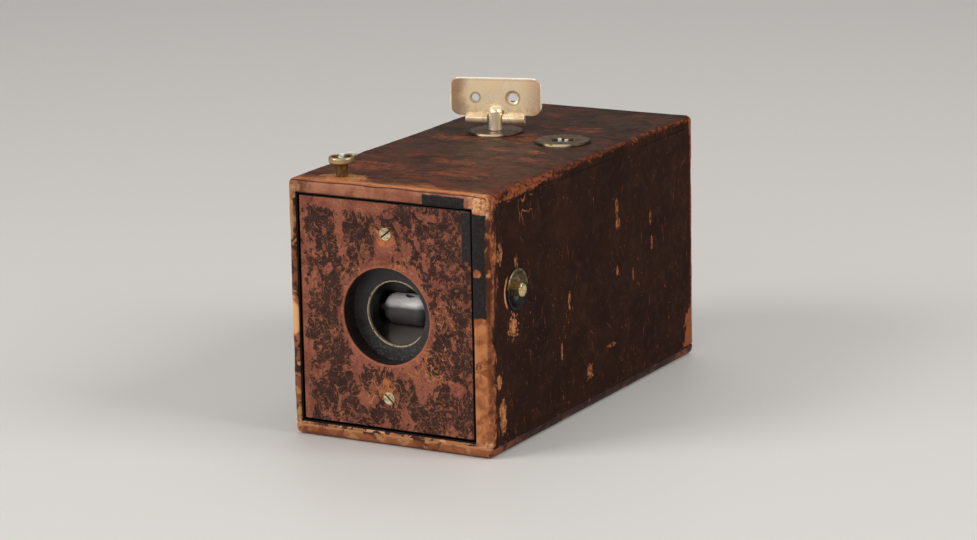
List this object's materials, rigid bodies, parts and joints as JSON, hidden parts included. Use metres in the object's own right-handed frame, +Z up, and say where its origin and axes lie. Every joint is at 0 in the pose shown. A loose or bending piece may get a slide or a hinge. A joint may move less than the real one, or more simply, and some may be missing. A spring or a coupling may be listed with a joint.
{
  "type": "box camera",
  "caption": "Leather-covered wooden box camera with a string-set barrel shutter behind a round front opening, a folding winding key, a counter dial and a sliding film carrier",
  "frame": {"origin": "centre of the flat bottom face", "axes": "front with the lens opening towards -Y, +X to the right as seen from the front, +Z up"},
  "size_m": [0.0856, 0.165, 0.116],
  "materials": {
    "cover_leather": "worn smooth dark brown leather",
    "bottom_leather": "dark brown leather with a reddish edge",
    "panel_leather": "worn red-brown leather with dark stains",
    "case_wood": "plain hardwood",
    "front_wood": "dark stained hardwood",
    "black_wood": "blackened hardwood",
    "carrier_wood": "varnished hardwood",
    "roller_wood": "turned hardwood",
    "film_base": "glossy film",
    "panel_screws": "worn slotted screws",
    "inner_screws": "brass screws and pins",
    "mechanism_brass": "plain brass",
    "barrel_black": "satin black",
    "lens_glass": "clear glass",
    "steel": "plain steel",
    "post_brass": "tarnished brass",
    "key_nickel": "nickelled brass worn to a pale gold",
    "key_stem_brass": "worn brass",
    "patina": "dark grey-olive patina",
    "cup_brass": "tarnished brass",
    "button_brass": "polished by fingers",
    "cord": "pale twisted cord"
  },
  "bodies": {
    "case": {"case_top_board": "case_wood", "case_bottom_board": "case_wood", "case_left_board": "case_wood", "case_right_board": "case_wood", "leather_upper_cover": "cover_leather", "leather_bottom_cover": "bottom_leather", "front_board": "front_wood", "front_leather": "panel_leather", "front_screws": "panel_screws", "shutter_board": "black_wood", "shutter_block": "black_wood", "right_bearing_plate": "mechanism_brass", "left_bearing_plate": "mechanism_brass", "pulley_bracket": "mechanism_brass", "button_guide": "mechanism_brass", "holding_click": "mechanism_brass", "mechanism_screws": "inner_screws", "lens_tube": "barrel_black", "lens_glasses": "lens_glass", "lens_arm": "mechanism_brass", "lens_arm_bracket": "mechanism_brass", "cord_post": "post_brass", "key_escutcheon": "patina", "indicator_escutcheon": "patina", "release_cup": "cup_brass", "release_spring": "steel"},
    "barrel": {"shutter_barrel": "barrel_black", "barrel_axle": "steel", "stop_wheel": "mechanism_brass"},
    "spring_drum": {"spring_cup": "mechanism_brass", "ratchet_wheel": "mechanism_brass", "mainspring": "steel"},
    "pulley": {"cord_pulley": "mechanism_brass", "cord_winding": "cord", "drive_pawl": "mechanism_brass"},
    "cord": {"setting_cord": "cord", "cord_end": "cord"},
    "button": {"release_button": "button_brass"},
    "rocker": {"release_rocker": "mechanism_brass"},
    "key": {"key_stem": "key_stem_brass", "key_pin": "steel"},
    "key_wing": {"key_plate": "key_nickel"},
    "dial": {"indicator_dial": "patina"},
    "carrier": {"rear_board": "carrier_wood", "rear_leather": "panel_leather", "carrier_bottom_plate": "carrier_wood", "carrier_top_plate": "carrier_wood", "film_mask": "carrier_wood", "film_platen": "carrier_wood", "film_web": "film_base", "carrier_screws": "inner_screws"},
    "takeup": {"takeup_spool": "roller_wood", "takeup_film_roll": "film_base"},
    "supply": {"supply_spool": "roller_wood", "supply_film_roll": "film_base"},
    "measuring_roller": {"measuring_roller": "roller_wood"},
    "left_guide_roller": {"left_guide_roller": "roller_wood"},
    "right_guide_roller": {"right_guide_roller": "roller_wood"},
    "indicator_wheel": {"indicator_wheel": "mechanism_brass"}
  },
  "joints": [
    {"name": "cord_pull", "type": "slide", "parent": "case", "child": "cord", "axis": [0, 0, 1], "range_m": [0, 0.033], "stiffness_N_per_m": 30, "springref_m": -0.02, "deforming": ["setting_cord"]},
    {"name": "pulley_turn", "type": "hinge", "parent": "case", "child": "pulley", "pos_m": [-0.0238, -0.06205, 0.0458], "axis": [1, 0, 0], "range_deg": [-181, 0]},
    {"name": "drum_turn", "type": "hinge", "parent": "case", "child": "spring_drum", "pos_m": [-0.0188, -0.06205, 0.0458], "axis": [1, 0, 0], "range_deg": [-181, 0]},
    {"name": "barrel_turn", "type": "hinge", "parent": "case", "child": "barrel", "pos_m": [-0.0015, -0.06205, 0.0458], "axis": [1, 0, 0], "continuous": true},
    {"name": "release_press", "type": "slide", "parent": "case", "child": "button", "axis": [-1, 0, 0], "range_m": [0, 0.0015], "stiffness_N_per_m": 400, "springref_m": -0.002, "deforming": ["release_spring"]},
    {"name": "rocker_turn", "type": "hinge", "parent": "case", "child": "rocker", "pos_m": [0.0195, -0.06205, 0.0538], "axis": [0, -1, 0], "range_deg": [0, 25.6]},
    {"name": "key_turn", "type": "hinge", "parent": "case", "child": "key", "pos_m": [-0.0125, 0.02145, 0.1], "axis": [0, 0, 1], "continuous": true},
    {"name": "key_fold", "type": "hinge", "parent": "key", "child": "key_wing", "pos_m": [-0.0125, 0.02145, 0.10045], "axis": [-0.9613, -0.2756, 0], "range_deg": [0, 90]},
    {"name": "dial_turn", "type": "hinge", "parent": "case", "child": "dial", "pos_m": [0.0203, 0.01395, 0.0948], "axis": [0, 0, 1], "continuous": true},
    {"name": "carrier_slide", "type": "slide", "parent": "case", "child": "carrier", "axis": [0, 1, 0], "range_m": [0, 0.1]},
    {"name": "takeup_turn", "type": "hinge", "parent": "carrier", "child": "takeup", "pos_m": [-0.0125, 0.02145, 0.045], "axis": [0, 0, 1], "continuous": true},
    {"name": "supply_turn", "type": "hinge", "parent": "carrier", "child": "supply", "pos_m": [0.006, 0.05395, 0.045], "axis": [0, 0, 1], "continuous": true},
    {"name": "measuring_turn", "type": "hinge", "parent": "carrier", "child": "measuring_roller", "pos_m": [0.0299, 0.01395, 0.045], "axis": [0, 0, 1], "continuous": true},
    {"name": "left_guide_turn", "type": "hinge", "parent": "carrier", "child": "left_guide_roller", "pos_m": [-0.0334, -0.00055, 0.045], "axis": [0, 0, 1], "continuous": true},
    {"name": "right_guide_turn", "type": "hinge", "parent": "carrier", "child": "right_guide_roller", "pos_m": [0.0304, -0.00055, 0.045], "axis": [0, 0, 1], "continuous": true},
    {"name": "counter_turn", "type": "hinge", "parent": "carrier", "child": "indicator_wheel", "pos_m": [0.0203, 0.01395, 0.0856], "axis": [0, 0, 1], "continuous": true}
  ],
  "couplings": [
    {"joint": "pulley_turn", "follows": "cord_pull", "rad_per_m": -95.238},
    {"joint": "drum_turn", "follows": "cord_pull", "rad_per_m": -95.238},
    {"joint": "rocker_turn", "follows": "release_press", "rad_per_m": 296.71},
    {"joint": "takeup_turn", "follows": "key_turn", "ratio": 1},
    {"joint": "supply_turn", "follows": "key_turn", "ratio": 0.52857},
    {"joint": "measuring_turn", "follows": "key_turn", "ratio": 2.5},
    {"joint": "left_guide_turn", "follows": "key_turn", "ratio": 3.3636},
    {"joint": "right_guide_turn", "follows": "key_turn", "ratio": 3.3636},
    {"joint": "counter_turn", "follows": "key_turn", "ratio": -0.83333},
    {"joint": "dial_turn", "follows": "key_turn", "ratio": -0.83333}
  ]
}
